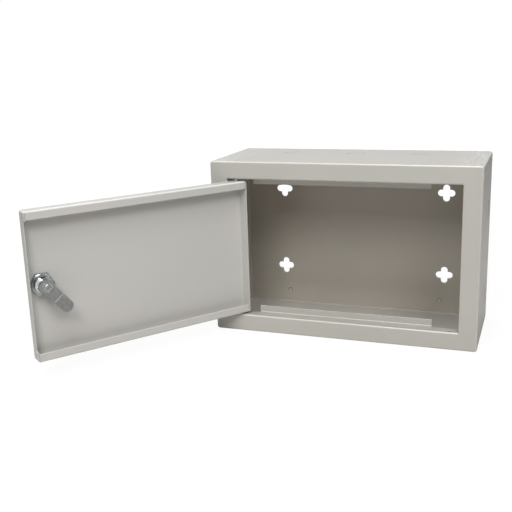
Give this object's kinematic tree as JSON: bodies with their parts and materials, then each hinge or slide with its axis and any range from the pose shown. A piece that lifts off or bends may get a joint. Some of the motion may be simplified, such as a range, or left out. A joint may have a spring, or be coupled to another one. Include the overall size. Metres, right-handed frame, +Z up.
{
  "type": "steel wall enclosure",
  "caption": "Folded steel wall enclosure with a framed front, a pin-hinged cam-lock door, knock-outs and cross-shaped fixing holes in its back.",
  "frame": {"origin": "centre of the four fixing holes, on the plane that lies against the wall", "axes": "+Z up, +Y into the wall, the front faces -Y, +X to the right as seen from the front"},
  "size_m": [0.4196, 0.3214, 0.2],
  "materials": {
    "grey_paint": "semi-gloss",
    "zinc_plate": "satin",
    "chrome_plate": "polished",
    "brass": "satin",
    "spring_steel": "satin"
  },
  "bodies": {
    "enclosure": {"body_shell": "grey_paint", "back_panel": "grey_paint", "hinge_spacer": "zinc_plate"},
    "door": {"door_panel": "grey_paint", "upper_hinge_pin": "zinc_plate", "lower_hinge_pin": "zinc_plate", "upper_pin_clip": "spring_steel", "lower_pin_clip": "spring_steel", "lock_housing": "chrome_plate", "lock_nut": "chrome_plate"},
    "lock_core": {"lock_plug": "chrome_plate", "wafer_1": "brass", "wafer_2": "brass", "wafer_3": "brass", "wafer_4": "brass", "wafer_5": "brass", "wafer_springs": "spring_steel", "stop_plate": "zinc_plate", "lock_cam": "zinc_plate", "cam_washer": "zinc_plate", "cam_screw": "chrome_plate"}
  },
  "joints": [
    {"name": "door_hinge", "type": "hinge", "parent": "enclosure", "child": "door", "pos_m": [-0.1205, -0.1149, 0], "axis": [0, 0, 1], "range_deg": [0, 126]},
    {"name": "cam_turn", "type": "hinge", "parent": "door", "child": "lock_core", "pos_m": [-0.26158, -0.3004, 0], "axis": [0.809, -0.5878, 0], "range_deg": [-129, 51]}
  ]
}
